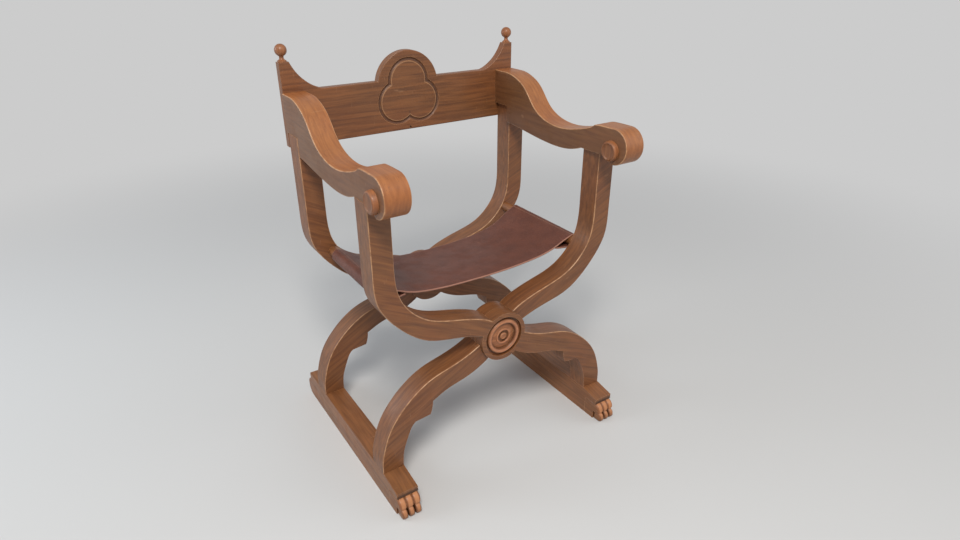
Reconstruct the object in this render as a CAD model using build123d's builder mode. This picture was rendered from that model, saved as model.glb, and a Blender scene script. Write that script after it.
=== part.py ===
"""Savonarola chair: two halves of lapped S-shaped members that fold about a round hub,
with scrolled arms, paw-footed runners, a leather sling seat and a swinging back board.

Millimetres. The origin is on the floor under the middle of the chair, +Z is up,
the front of the chair faces -Y and its right side, seen from the front, is +X.
Half A holds the left uprights and the right legs, half B the right uprights and the left legs.
"""
import os
from math import cos, radians, sin

from build123d import *

LEFT, RIGHT = -1, 1

# Frames: two crossed pairs of S members, one pair in front and one behind
hub_height = 341.0          # axis of the fold above the floor
hub_radius = 62.0           # round boss where two members lap
member_depth = 56.0         # thickness of a member, front to back
member_step = 12.0          # half B stands this far behind half A
front_face = -218.0         # front face of half A's front member
frame_pitch = 356.0         # from the front frame to the rear one
upright_outer = 321.0       # outer side of the uprights from the centre plane
upright_width = 48.0
upright_bend = 600.0        # height where the upright leaves the vertical
band_upper = 31.0           # member's upper edge above the hub's axis, on the axis
band_lower = 25.0           # and its lower edge below it
front_seat_height = 741.0   # top of the front uprights, under the arm
rear_seat_rise = 45.0       # the rear uprights are this much higher
edge_ease = 2.5             # rounded long edges of the members and arms
lap_gap = 0.2               # between the two lapped hub faces
hub_gap = 0.5               # round a hub boss, inside the other member's recess

# Tenons of the uprights and legs
tenon_width = 24.0
tenon_depth = 30.0
front_tenon_length = 30.0
rear_tenon_length = 40.0
leg_tenon_length = 35.0
joint_gap = 0.15            # at each side of a tenon
mortise_spare = 1.0         # beyond the end of a tenon

# Legs and runners
runner_outer = 330.0        # outer side of the runners from the centre plane
runner_width = 54.0
runner_height = 75.0
leg_width = 53.0            # at the foot of the leg
runner_reach = 292.0        # paw tip and heel from the middle
runner_ease = 1.5           # rounded upper edges of the runner
slab_setback = 21.0         # the slab's front edge is this far behind the paw's tip
slab_droop = 10.0           # fall of the slab from the leg to its front edge
slab_thickness = 15.0
paw_length = 62.0           # carved block that is let in under the slab
toe_count = 3
toe_overlap = 1.6           # where neighbouring toes run together
toe_ease = 6.0              # rounding of a knuckle's sides
knuckle_radius = 19.0       # of a knuckle seen from the side
chin_radius = 11.0
claw_step = 7.0             # the claw's tip ahead of the knuckle
claw_inset = 2.5            # the claw is this much narrower at each side
claw_radius = 16.0
claw_height = 26.0
claw_ease = 4.5
paw_gap = 0.1               # glue line round the paw
heel_length = 24.0          # rounded heel behind the slab
heel_notch = 18.0           # depth of the notch under the slab's rear edge
heel_lip = 4.0              # how far the slab ends behind the start of the heel
heel_crown = 0.45           # height of the heel's furthest point, as a share of the heel

# Pivots
bolt_radius = 6.0
bore_gap = 0.05             # running fit of the bolt in both members
bolt_head_radius = 13.0
bolt_head_height = 5.0
head_gap = 1.0              # round the bolt's head
rosette_recess = 12.0       # depth of the recess in the hub's face
rosette_radius = 51.5
rosette_gap = 0.15
groove_floor = 3.0          # thickness of the rosette in the groove round its ring
ring_radius = 39.5          # crest of the rosette's raised ring
ring_half_width = 5.5
rosette_proud = 1.0         # how far the ring stands out of the hub's face
valley_floor = 4.0          # thickness inside the ring, where the dished middle starts
dish_radius = 22.0          # inner end of the slope up to the inner ring
dish_floor = 7.0
inner_ring_radius = 18.0
inner_ring_half_width = 3.0
button_radius = 9.0
button_bevel = 2.0
button_height = 4.0
washer_radius = 17.0
washer_thickness = 2.5
nut_side = 20.0
nut_thickness = 9.0
bolt_tail = 3.0             # thread beyond the nut
washer_gap = 0.1            # between the washer and the turning member

# Arms
arm_outer = 320.0
arm_width = 55.0
arm_crest = 87.0            # rear end of the arm's top above the rear uprights
arm_dip_rise = 31.0         # lowest point of the arm's upper edge above the front uprights
arm_dip_fall = 18.0         # lowest point of its lower edge below them
scroll_reach = 36.0         # middle of the scroll ahead of the front member's face
scroll_rise = 25.0          # middle of the scroll above the front uprights
scroll_radius = 41.0
scroll_throat = 7.0         # ahead of the front upright, where the scroll's underside ends
boss_lead = 2.0             # middle of the eye ahead of that of the scroll
boss_drop = 9.0             # middle of the eye below that of the scroll
boss_radius = 18.0
boss_length = 20.0
boss_ease = 3.0
boss_spigot_radius = 8.0
boss_spigot_length = 18.0
fit_gap = 0.05              # round a glued or driven spigot

# Seat
rail_x = 266.0
rail_z = 497.0
rail_radius = 13.0
rail_tenon_radius = 9.0
rail_tenon_length = 20.0
sling_front_gap = 8.0       # behind half B's front member
sling_rear_gap = 30.0       # ahead of half A's rear member
sling_thickness = 4.0
sling_gap = 0.3             # between the leather and the rail
sling_sag = 56.0            # fall of the leather's middle below its tops on the rails
sleeve_reach = 52.0         # from the rail's axis to the sleeve's inner end under the sling

# Back board
board_gap = 0.3             # between the board and the arms' rear ends
board_thickness = 22.0
board_ease = 2.0            # rounded edges of the board
board_half_width = 318.0
board_drop = 37.0           # its lower edge below the top of the rear uprights
board_height = 126.0        # up to its straight upper edge
crest_radius = 82.0         # of the central arch
crest_rise = 68.0           # top of the arch above the straight edge
peak_start = 225.0          # where the peak's slope leaves the straight edge
peak_flat = 294.0           # inner end of the peak's flat tip
peak_rise = 64.0            # flat tips above the straight edge
peak_hollow = 4.0           # how far the slope's middle lies outside a straight one
peak_knee_rise = 0.34       # height of the slope's middle, as a share of the peak
groove_half_width = 2.2     # at the bottom of the trefoil's groove
groove_slope = 2.0          # width and depth of its sloping sides
groove_depth = 3.0
top_lobe_drop = 70.0        # middle of the top lobe below the crest's top
top_lobe_radius = 48.0
side_lobe_x = 38.5
side_lobe_drop = 61.0       # middle of the side lobes below that of the top lobe
side_lobe_radius = 40.0
trefoil_heart_radius = 12.0 # closes the gap between the three lobes
dimple_radius = 3.0
dimple_rise = 14.0          # above the board's lower edge
finial_inset = 11.5         # from the board's end
finial_radius = 13.5
finial_rise = 25.0          # middle of the ball above the board's tips
finial_collar_radius = 10.0
finial_collar_height = 3.0
finial_neck_radius = 5.0
finial_neck_rise = 5.0      # narrowest point of the neck above the collar
finial_neck_angle = 65.0    # where the neck meets the ball, below the ball's equator
finial_pin_radius = 4.0
finial_pin_length = 20.0
pivot_rise = 18.0           # screw on which the board turns, above the board's lower edge
screw_radius = 5.0
screw_length = 40.0         # in the upright
screw_head_radius = 11.0
screw_head_height = 5.0
peg_radius = 6.0
peg_length = 30.0           # in the upright
peg_tail = 6.0              # behind the board

# Places that follow from the sizes above
rear_seat_height = front_seat_height + rear_seat_rise
arm_rear = front_face + frame_pitch + member_step + member_depth
scroll_y = front_face - scroll_reach
boss_y = scroll_y - boss_lead
sling_front = front_face + member_step + member_depth + sling_front_gap
sling_rear = front_face + frame_pitch - sling_rear_gap
sleeve_x = rail_x - sleeve_reach
board_bottom = rear_seat_height - board_drop
board_top = board_bottom + board_height
crest_top = board_top + crest_rise
peak_top = board_top + peak_rise
top_lobe_z = crest_top - top_lobe_drop
side_lobe_z = top_lobe_z - side_lobe_drop
dimple_z = board_bottom + dimple_rise
pivot_z = board_bottom + pivot_rise
finial_x = board_half_width - finial_inset
slab_reach = runner_reach - slab_setback
paw_start = runner_reach - paw_length
arm_rear_top = rear_seat_height + arm_crest
arm_dip_top = front_seat_height + arm_dip_rise
arm_dip_bottom = front_seat_height - arm_dip_fall
scroll_z = front_seat_height + scroll_rise
boss_z = scroll_z - boss_drop
upright_inner = upright_outer - upright_width
upright_middle = upright_outer - upright_width / 2
leg_inner = runner_outer - leg_width
leg_middle = runner_outer - leg_width / 2
runner_middle = runner_outer - runner_width / 2
finial_z = peak_top + finial_rise
board_front = arm_rear + board_gap
board_rear = board_front + board_thickness
peg_z = board_bottom - peg_radius - board_gap
rail_sleeve_radius = rail_radius + sling_gap + sling_thickness / 2
parts = {}


def keep(name, part):
    """Name a finished piece and remember it for export."""
    part.label = name
    parts[name] = part


def xz_plane(y):
    """Vertical plane across the chair at depth y; extruding from it goes to the front."""
    return Plane.XZ.offset(-y)


def member_front(half, frame):
    """Front face of a member: half 0 is A, half 1 is B; frame 0 is front, frame 1 is rear."""
    return front_face + half * member_step + frame * frame_pitch


def lap_plane(frame):
    """Depth at which the two hub bosses of a frame meet."""
    return front_face + frame * frame_pitch + (member_depth + member_step) / 2


def ease_rims(blank, low, high):
    """Round the long edges of a sawn blank, but not where it seats at heights low and high."""
    rims = blank.faces().filter_by(Axis.Y).edges().filter_by_position(Axis.Z, low, high)
    return [rim for rim in rims if abs(rim.center().X) > 1]


def make_upright_blank(side, top, rear):
    """Upper half of an S member: it stands at the side, then sweeps in to the hub's axis."""
    def at(reach, rise):
        """Point at a share of the way out to the upright and of the rise from hub to bend."""
        return (side * reach * upright_outer, hub_height + rise * (upright_bend - hub_height))

    inner_edge = [
        (side * upright_inner, upright_bend), at(0.798, 0.653), at(0.632, 0.444), at(0.374, 0.336),
        at(0.137, 0.232), (0, hub_height + band_upper),
    ]
    outer_edge = [
        (side * upright_outer, upright_bend), at(0.978, 0.695), at(0.847, 0.448), at(0.632, 0.236),
        at(0.374, 0.151), at(0.206, 0.089), (0, hub_height - band_lower),
    ]
    with BuildPart() as blank:
        with BuildSketch(xz_plane(rear)):
            with BuildLine():
                Line((side * upright_outer, top), (side * upright_inner, top))
                Line((side * upright_inner, top), inner_edge[0])
                Spline(*inner_edge, tangents=[(0, -1), (-side, -0.6)])
                Line(inner_edge[-1], outer_edge[-1])
                Spline(*outer_edge, tangents=[(0, -1), (-side, -0.8)])
                Line(outer_edge[0], (side * upright_outer, top))
            make_face()
        extrude(amount=member_depth)
        fillet(ease_rims(blank, 0, top - 1), edge_ease)
    return blank.part


def make_leg_blank(side, rear):
    """Lower half of an S member: it leaves the hub, arches down to the runner and has a cusped
    bracket on its underside."""
    def at(reach, fall):
        """Point at a share of the way out to the runner's side and of the fall from hub to runner."""
        return (side * reach * runner_outer, hub_height - fall * (hub_height - runner_height))

    upper_edge = [
        (0, hub_height + band_upper), at(0.212, 0.049), at(0.394, 0.135), at(0.576, 0.195),
        at(0.727, 0.301), at(0.848, 0.444), at(0.939, 0.620), at(0.991, 0.831), at(1, 1),
    ]
    lower_edge = [
        (0, hub_height - band_lower), at(0.139, 0.222), at(0.315, 0.316), at(0.485, 0.372),
        at(0.582, 0.429),
    ]
    cusp = at(0.606, 0.560)
    bracket_end = at(0.724, 0.575)
    arch = [bracket_end, at(0.770, 0.643), at(0.812, 0.771), (side * leg_inner, runner_height)]
    with BuildPart() as blank:
        with BuildSketch(xz_plane(rear)):
            with BuildLine():
                Spline(*upper_edge, tangents=[(side, -0.6), (0, -1)])
                Line(upper_edge[-1], arch[-1])
                Spline(*arch, tangents=[(side, -0.5), (0, -1)])
                Line(bracket_end, cusp)
                ThreePointArc(cusp, at(0.588, 0.492), lower_edge[-1])
                Spline(*lower_edge, tangents=[(side, -0.75), (side, -0.45)])
                Line(lower_edge[0], upper_edge[0])
            make_face()
        extrude(amount=member_depth)
        rims = ease_rims(blank, runner_height + 1, hub_height)
        fillet(sorted(rims, key=lambda rim: rim.length)[-2:], edge_ease)
    return blank.part


def make_member(half, frame):
    """One S-shaped member. Half A's upright stands on the left, half B's on the right."""
    side = LEFT if half == 0 else RIGHT
    front = member_front(half, frame)
    rear = front + member_depth
    top = rear_seat_height if frame else front_seat_height
    tenon_length = rear_tenon_length if frame else front_tenon_length
    lap = lap_plane(frame)
    with BuildPart() as member:
        add(make_upright_blank(side, top, rear))
        add(make_leg_blank(-side, rear))

        # The member keeps half the depth of the hub as a round boss, and clears the other boss
        boss_rear, recess_rear = (lap - lap_gap / 2, rear + 1) if half == 0 else (rear, lap + lap_gap / 2)
        recess_front = lap - lap_gap / 2 if half == 0 else front - 1
        boss_front = front if half == 0 else lap + lap_gap / 2
        with BuildSketch(xz_plane(recess_rear)):
            with Locations((0, hub_height)):
                Circle(hub_radius + hub_gap)
        extrude(amount=recess_rear - recess_front, mode=Mode.SUBTRACT)
        with BuildSketch(xz_plane(boss_rear)):
            with Locations((0, hub_height)):
                Circle(hub_radius)
        extrude(amount=boss_rear - boss_front)

        # Bore for the bolt, and the recess for head and rosette on the outer hub of each frame
        with BuildSketch(xz_plane(rear + 1)):
            with Locations((0, hub_height)):
                Circle(bolt_radius + bore_gap)
        extrude(amount=member_depth + 2, mode=Mode.SUBTRACT)
        if half == frame:
            outward = LEFT if frame == 0 else RIGHT
            face = front if frame == 0 else rear
            hub_face = Plane((0, face, hub_height), x_dir=(1, 0, 0), z_dir=(0, outward, 0))
            with BuildSketch(hub_face):
                Circle(rosette_radius + rosette_gap)
            extrude(amount=-rosette_recess, mode=Mode.SUBTRACT)
            with BuildSketch(hub_face.offset(-rosette_recess)):
                Circle(bolt_head_radius + head_gap)
            extrude(amount=-bolt_head_height - lap_gap, mode=Mode.SUBTRACT)

        # Tenons on the upright and on the leg
        with BuildSketch(Plane.XY.offset(top)):
            with Locations((side * upright_middle, front + member_depth / 2)):
                Rectangle(tenon_width, tenon_depth)
        extrude(amount=tenon_length)
        with BuildSketch(Plane.XY.offset(runner_height)):
            with Locations((-side * leg_middle, front + member_depth / 2)):
                Rectangle(tenon_width, tenon_depth)
        extrude(amount=-leg_tenon_length)

        # Blind hole for the seat rail's tenon, in the face towards the other frame
        inward_face = front if frame else rear
        rail_face = Plane((side * rail_x, inward_face, rail_z), x_dir=(1, 0, 0),
                          z_dir=(0, -1 if frame else 1, 0))
        with BuildSketch(rail_face):
            Circle(rail_tenon_radius + fit_gap)
        extrude(amount=-rail_tenon_length - mortise_spare, mode=Mode.SUBTRACT)

        # The rear uprights carry the back board: its screw on the right, its rest peg on the left
        if frame:
            radius, z = (screw_radius, pivot_z) if half else (peg_radius, peg_z)
            length = screw_length if half else peg_length
            with BuildSketch(xz_plane(rear + 1)):
                with Locations((side * upright_middle, z)):
                    Circle(radius + fit_gap)
            extrude(amount=length + mortise_spare, mode=Mode.SUBTRACT)
    return member.part


def make_arm(side):
    """One arm, with its scrolled hand rest, sawn from a plank and mortised for two uprights."""
    half = 0 if side == LEFT else 1
    seat_front = member_front(half, 0)
    step_y = member_front(half, 1)
    low_x = side * arm_outer if side == LEFT else arm_outer - arm_width

    def above(reach, rise):
        """Point at a share of the way from rear end to scroll, and of the fall of the arm's top."""
        return (arm_rear + reach * (scroll_y - arm_rear), arm_dip_top + rise * (arm_rear_top - arm_dip_top))

    def below(reach, rise):
        """Point between the two uprights, at a share of the way back and of the lower edge's dip."""
        start = seat_front + member_depth
        return (start + reach * (step_y - start), arm_dip_bottom + rise * arm_dip_fall)

    upper_edge = [
        above(0.100, 1), above(0.191, 0.93), above(0.276, 0.74), above(0.370, 0.31), above(0.448, 0.11),
        above(0.578, 0.01), above(0.722, 0.09), above(0.839, 0.257), (scroll_y, scroll_z + scroll_radius),
    ]
    lower_edge = [below(0, 1), below(0.24, 0.06), below(0.40, 0.06), below(0.60, 0.33), below(1, 1.06)]
    throat = (seat_front - scroll_throat, front_seat_height)
    scroll_end = (scroll_y, scroll_z - scroll_radius)
    with BuildPart() as arm:
        with BuildSketch(Plane.YZ.offset(low_x)):
            with BuildLine():
                Line((arm_rear, rear_seat_height), (arm_rear, arm_rear_top))
                Line((arm_rear, arm_rear_top), upper_edge[0])
                Spline(*upper_edge, tangents=[(-1, 0), (-1, 0)])
                ThreePointArc(upper_edge[-1], (scroll_y - scroll_radius, scroll_z), scroll_end)
                ThreePointArc(scroll_end, ((scroll_y + throat[0]) / 2, throat[1] - scroll_throat), throat)
                Line(throat, lower_edge[0])
                Spline(*lower_edge)
                Line(lower_edge[-1], (step_y, rear_seat_height))
                Line((step_y, rear_seat_height), (arm_rear, rear_seat_height))
            make_face()
        extrude(amount=arm_width)
        rims = arm.faces().filter_by(Axis.X).edges()
        fillet([rim for rim in rims if rim.geom_type != GeomType.LINE], edge_ease)
        for seat_z, tenon_y, length in (
            (front_seat_height, seat_front, front_tenon_length),
            (rear_seat_height, step_y, rear_tenon_length),
        ):
            with BuildSketch(Plane.XY.offset(seat_z - 1)):
                with Locations((side * upright_middle, tenon_y + member_depth / 2)):
                    Rectangle(tenon_width + 2 * joint_gap, tenon_depth + 2 * joint_gap)
            extrude(amount=length + mortise_spare + 1, mode=Mode.SUBTRACT)
        with BuildSketch(Plane.YZ.offset(low_x)):
            with Locations((boss_y, boss_z)):
                Circle(boss_spigot_radius + fit_gap)
        extrude(amount=boss_spigot_length + mortise_spare, mode=Mode.SUBTRACT)
        with BuildSketch(Plane.YZ.offset(low_x + arm_width)):
            with Locations((boss_y, boss_z)):
                Circle(boss_spigot_radius + fit_gap)
        extrude(amount=-boss_spigot_length - mortise_spare, mode=Mode.SUBTRACT)
    return arm.part


def make_boss(face_x, outward):
    """Turned eye of a scroll: a rounded button with a shallow dish, on a spigot into the arm."""
    axis = Plane((face_x, boss_y, boss_z), x_dir=(0, 1, 0), z_dir=(outward, 0, 0))
    with BuildPart() as boss:
        with BuildSketch(axis):
            Circle(boss_radius)
        extrude(amount=boss_length)
        rim = boss.faces().filter_by(Axis.X).sort_by(Axis.X)[-1 if outward > 0 else 0]
        fillet(rim.edges(), boss_ease)
        with BuildSketch(axis):
            Circle(boss_spigot_radius)
        extrude(amount=-boss_spigot_length)
    return boss.part


def make_runner(side):
    """Runner on the floor: a top slab over the body, a rounded heel behind and a bay for the paw."""
    half = 1 if side == LEFT else 0
    low_x = runner_outer - runner_width if side == RIGHT else -runner_outer
    leg_front = member_front(half, 0)
    slab_tip = runner_height - slab_droop
    heel_top = runner_height - heel_notch
    heel_start = runner_reach - heel_length
    with BuildPart() as runner:
        with BuildSketch(Plane.YZ.offset(low_x)):
            with BuildLine():
                Polyline(
                    (heel_start, heel_top), (heel_start + heel_lip, heel_top + heel_lip),
                    (heel_start + heel_lip, runner_height), (leg_front - 2, runner_height),
                    (-slab_reach, slab_tip), (-slab_reach, slab_tip - slab_thickness),
                    (-paw_start, slab_tip - slab_thickness), (-paw_start, 0), (heel_start, 0),
                )
                ThreePointArc((heel_start, 0), (runner_reach, heel_top * heel_crown),
                              (heel_start, heel_top))
            make_face()
        extrude(amount=runner_width)
        rims = runner.faces().filter_by(Axis.X).edges()
        fillet([rim for rim in rims if rim.center().Z > slab_tip], runner_ease)
        for frame in (0, 1):
            tenon_y = member_front(half, frame) + member_depth / 2
            with BuildSketch(Plane.XY.offset(runner_height + 1)):
                with Locations((side * leg_middle, tenon_y)):
                    Rectangle(tenon_width + 2 * joint_gap, tenon_depth + 2 * joint_gap)
            extrude(amount=-leg_tenon_length - mortise_spare - 1, mode=Mode.SUBTRACT)
    return runner.part


def make_knuckle(low_x, width):
    """Upper part of a toe: it comes from under the slab and rounds over to the crease."""
    top = runner_height - slab_droop - slab_thickness - paw_gap
    back = -paw_start - paw_gap
    front = -runner_reach + claw_step
    brow = (front + knuckle_radius, top)
    nose = (front, top - knuckle_radius)
    chin = (front + chin_radius, nose[1] - chin_radius)
    heel_y = -runner_reach + 3 * knuckle_radius / 2
    with BuildPart() as knuckle:
        with BuildSketch(Plane.YZ.offset(low_x)):
            with BuildLine():
                Polyline(chin, (heel_y, chin[1]), (heel_y, 0), (back, 0), (back, top), brow)
                RadiusArc(brow, nose, -knuckle_radius)
                RadiusArc(nose, chin, -chin_radius)
            make_face()
        extrude(amount=width)
        rims = knuckle.faces().filter_by(Axis.X).edges().filter_by(GeomType.CIRCLE)
        fillet(rims, toe_ease)
    return knuckle.part


def make_claw(low_x, width):
    """Lower part of a toe: a narrower round claw that stands on the floor."""
    back = -paw_start - 2 * knuckle_radius
    brow = (-runner_reach + claw_radius, claw_height)
    nose = (-runner_reach, claw_height - claw_radius)
    chin = (-runner_reach + nose[1], 0)
    with BuildPart() as claw:
        with BuildSketch(Plane.YZ.offset(low_x)):
            with BuildLine():
                Polyline(chin, (back, 0), (back, claw_height), brow)
                RadiusArc(brow, nose, -claw_radius)
                RadiusArc(nose, chin, -nose[1])
            make_face()
        extrude(amount=width)
        rims = claw.faces().filter_by(Axis.X).edges().filter_by(GeomType.CIRCLE)
        fillet(rims, claw_ease)
    return claw.part


def make_paw(side):
    """Lion paw under the slab's tip, carved as a row of toes that run together at their sides."""
    low_x = side * runner_middle - runner_width / 2
    width = (runner_width + (toe_count - 1) * toe_overlap) / toe_count
    with BuildPart() as paw:
        for toe in range(toe_count):
            toe_x = low_x + toe * (width - toe_overlap)
            add(make_knuckle(toe_x, width))
            add(make_claw(toe_x + claw_inset, width - 2 * claw_inset))
    return paw.part


def make_rail(side):
    """Round rail under the side of the seat, tenoned into the uprights of its half."""
    half = 0 if side == LEFT else 1
    start = member_front(half, 0) + member_depth
    end = member_front(half, 1)
    with BuildPart() as rail:
        with BuildSketch(xz_plane(end)):
            with Locations((side * rail_x, rail_z)):
                Circle(rail_radius)
        extrude(amount=end - start)
        with BuildSketch(xz_plane(end + rail_tenon_length)):
            with Locations((side * rail_x, rail_z)):
                Circle(rail_tenon_radius)
        extrude(amount=end - start + 2 * rail_tenon_length)
    return rail.part


def make_rosette(frame):
    """Turned rosette in the hub's recess: groove, raised ring, dished middle, ring and button."""
    outward = -1 if frame == 0 else 1
    face = member_front(frame, frame) + (member_depth if frame else 0)
    axis_plane = Plane((0, face - outward * rosette_recess, hub_height), x_dir=(1, 0, 0),
                       z_dir=(0, 0, outward))
    ring_top = rosette_recess + rosette_proud
    ring_spring = ring_top - ring_half_width
    inner_outer = inner_ring_radius + inner_ring_half_width
    inner_bore = inner_ring_radius - inner_ring_half_width
    with BuildPart() as rosette:
        with BuildSketch(axis_plane):
            with BuildLine():
                Polyline(
                    (0, 0), (rosette_radius, 0), (rosette_radius, groove_floor),
                    (ring_radius + ring_half_width, groove_floor),
                    (ring_radius + ring_half_width, ring_spring),
                )
                ThreePointArc((ring_radius + ring_half_width, ring_spring), (ring_radius, ring_top),
                              (ring_radius - ring_half_width, ring_spring))
                Polyline(
                    (ring_radius - ring_half_width, ring_spring),
                    (ring_radius - ring_half_width, valley_floor), (dish_radius, dish_floor),
                    (inner_outer, dish_floor),
                )
                ThreePointArc((inner_outer, dish_floor),
                              (inner_ring_radius, dish_floor + inner_ring_half_width),
                              (inner_bore, dish_floor))
                Polyline(
                    (inner_bore, dish_floor), (inner_bore, valley_floor), (button_radius, valley_floor),
                    (button_radius, valley_floor + button_height),
                    (button_radius - button_bevel, valley_floor + button_height + button_bevel),
                    (0, valley_floor + button_height + button_bevel), (0, 0),
                )
            make_face()
        revolve(axis=Axis((0, face, hub_height), (0, 1, 0)))
    return rosette.part


def make_pivot(frame):
    """Bolt, washer and nut through a lapped hub; the head lies under the rosette."""
    outward = -1 if frame == 0 else 1
    face = member_front(frame, frame) + (member_depth if frame else 0)
    far_face = member_front(1 - frame, frame) + (0 if frame else member_depth)
    head_seat = face - outward * (rosette_recess + bolt_head_height)
    washer_face = far_face - outward * washer_gap
    tail = washer_face - outward * (washer_thickness + nut_thickness + bolt_tail)

    def axis_at(y, direction):
        return Plane((0, y, hub_height), x_dir=(1, 0, 0), z_dir=(0, direction, 0))

    with BuildPart() as bolt:
        with BuildSketch(axis_at(head_seat, outward)):
            Circle(bolt_head_radius)
        extrude(amount=bolt_head_height)
        with BuildSketch(axis_at(head_seat, -outward)):
            Circle(bolt_radius)
        extrude(amount=abs(tail - head_seat))
    with BuildPart() as washer:
        with BuildSketch(axis_at(washer_face, -outward)):
            Circle(washer_radius)
            Circle(bolt_radius + bore_gap, mode=Mode.SUBTRACT)
        extrude(amount=washer_thickness)
    with BuildPart() as nut:
        with BuildSketch(axis_at(washer_face - outward * washer_thickness, -outward)):
            Rectangle(nut_side, nut_side)
            Circle(bolt_radius + bore_gap, mode=Mode.SUBTRACT)
        extrude(amount=nut_thickness)
    return bolt.part, washer.part, nut.part


def make_sling():
    """Leather seat: it sags between the rails and returns round each one as a sewn sleeve."""
    over = rail_z + rail_sleeve_radius
    under = rail_z - rail_sleeve_radius

    def hang(reach, share):
        """Point at a share of the way out to the rail and of the leather's fall there."""
        return (reach * rail_x, over - share * sling_sag)

    with BuildPart() as sling:
        with BuildSketch(xz_plane(sling_rear)):
            with BuildLine():
                Spline(
                    hang(-1, 0), hang(-0.87, 0.2), hang(-0.68, 0.68), hang(0, 1),
                    hang(0.68, 0.68), hang(0.87, 0.2), hang(1, 0), tangents=[(1, 0), (1, 0)],
                )
                for side in (LEFT, RIGHT):
                    ThreePointArc((side * rail_x, over), (side * (rail_x + rail_sleeve_radius), rail_z),
                                  (side * rail_x, under))
                    Line((side * rail_x, under), (side * sleeve_x, under))
            trace(line_width=sling_thickness)
        extrude(amount=sling_rear - sling_front)
    return sling.part


def make_board():
    """Back board: arched crest, peaked ends and a trefoil groove cut in its front face."""
    peak_middle = (peak_start + peak_flat) / 2 + peak_hollow
    peak_knee = board_top + peak_knee_rise * (peak_top - board_top)
    with BuildPart() as board:
        with BuildSketch(xz_plane(board_rear)):
            with BuildLine():
                ThreePointArc((-crest_radius, board_top), (0, crest_top), (crest_radius, board_top))
                for side in (LEFT, RIGHT):
                    Line((side * crest_radius, board_top), (side * peak_start, board_top))
                    ThreePointArc((side * peak_start, board_top), (side * peak_middle, peak_knee),
                                  (side * peak_flat, peak_top))
                    Polyline((side * peak_flat, peak_top), (side * board_half_width, peak_top),
                             (side * board_half_width, board_bottom), (0, board_bottom))
            make_face()
        extrude(amount=board_thickness)
        fillet(board.faces().filter_by(Axis.Y).edges(), board_ease)
        with BuildSketch(xz_plane(board_front)):
            with BuildSketch(mode=Mode.PRIVATE) as trefoil:
                with Locations((0, top_lobe_z)):
                    Circle(top_lobe_radius)
                with Locations((-side_lobe_x, side_lobe_z), (side_lobe_x, side_lobe_z)):
                    Circle(side_lobe_radius)
                with Locations((0, side_lobe_z)):
                    Circle(trefoil_heart_radius)
            offset(trefoil.sketch, groove_half_width)
            offset(trefoil.sketch, -groove_half_width, mode=Mode.SUBTRACT)
        extrude(amount=-groove_depth, mode=Mode.SUBTRACT)
        groove_rims = board.edges(Select.LAST).filter_by_position(Axis.Y, board_front, board_front)
        chamfer(groove_rims, groove_slope)
        with BuildSketch(xz_plane(board_front)):
            with Locations((0, dimple_z)):
                Circle(dimple_radius)
        extrude(amount=-dimple_radius, mode=Mode.SUBTRACT)
        with BuildSketch(xz_plane(board_front)):
            with Locations((upright_middle, pivot_z)):
                Circle(screw_radius + bore_gap)
        extrude(amount=-board_thickness, mode=Mode.SUBTRACT)
        with BuildSketch(Plane.XY.offset(peak_top)):
            with Locations((-finial_x, (board_front + board_rear) / 2),
                           (finial_x, (board_front + board_rear) / 2)):
                Circle(finial_pin_radius + fit_gap)
        extrude(amount=-finial_pin_length - mortise_spare, mode=Mode.SUBTRACT)
    return board.part


def make_finial(side):
    """Turned ball on a waisted neck and a collar, pinned into the tip of the board."""
    ball_foot = finial_radius * sin(radians(finial_neck_angle))
    ball_neck = finial_radius * cos(radians(finial_neck_angle))
    with BuildPart() as finial:
        with BuildSketch(Plane((side * finial_x, (board_front + board_rear) / 2, 0), x_dir=(1, 0, 0),
                               z_dir=(0, -1, 0))):
            with BuildLine():
                Polyline(
                    (0, finial_z + finial_radius), (0, peak_top - finial_pin_length),
                    (finial_pin_radius, peak_top - finial_pin_length), (finial_pin_radius, peak_top),
                    (finial_collar_radius, peak_top), (finial_collar_radius, peak_top + finial_collar_height),
                )
                ThreePointArc(
                    (finial_collar_radius, peak_top + finial_collar_height),
                    (finial_neck_radius, peak_top + finial_collar_height + finial_neck_rise),
                    (ball_neck, finial_z - ball_foot),
                )
                ThreePointArc((ball_neck, finial_z - ball_foot), (finial_radius, finial_z),
                              (0, finial_z + finial_radius))
            make_face()
        revolve(axis=Axis((side * finial_x, (board_front + board_rear) / 2, 0), (0, 0, 1)))
    return finial.part


def make_board_pin(x, z, seat_y, radius, length, head_radius, tail):
    """Round pin driven forward into an upright, with a rounded head or end behind the board."""
    head_face = board_rear + board_gap
    with BuildPart() as pin:
        with BuildSketch(xz_plane(head_face)):
            with Locations((x, z)):
                Circle(radius)
        extrude(amount=head_face - seat_y + length)
        with BuildSketch(xz_plane(head_face + tail)):
            with Locations((x, z)):
                Circle(head_radius)
        extrude(amount=tail)
        rim = pin.faces().sort_by(Axis.Y)[-1].edges()
        fillet(rim, tail / 2)
    return pin.part


for frame, place in ((0, "front"), (1, "rear")):
    keep(f"{place}_member_a", make_member(0, frame))
    keep(f"{place}_member_b", make_member(1, frame))
    keep(f"{place}_rosette", make_rosette(frame))
    bolt, washer, nut = make_pivot(frame)
    keep(f"{place}_pivot_bolt", bolt)
    keep(f"{place}_pivot_washer", washer)
    keep(f"{place}_pivot_nut", nut)

for side, place in ((LEFT, "left"), (RIGHT, "right")):
    keep(f"{place}_arm", make_arm(side))
    keep(f"{place}_arm_outer_boss", make_boss(side * arm_outer, side))
    keep(f"{place}_arm_inner_boss", make_boss(side * (arm_outer - arm_width), -side))
    keep(f"{place}_runner", make_runner(side))
    keep(f"{place}_paw", make_paw(side))
    keep(f"{place}_seat_rail", make_rail(side))
    keep(f"{place}_finial", make_finial(side))

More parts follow.
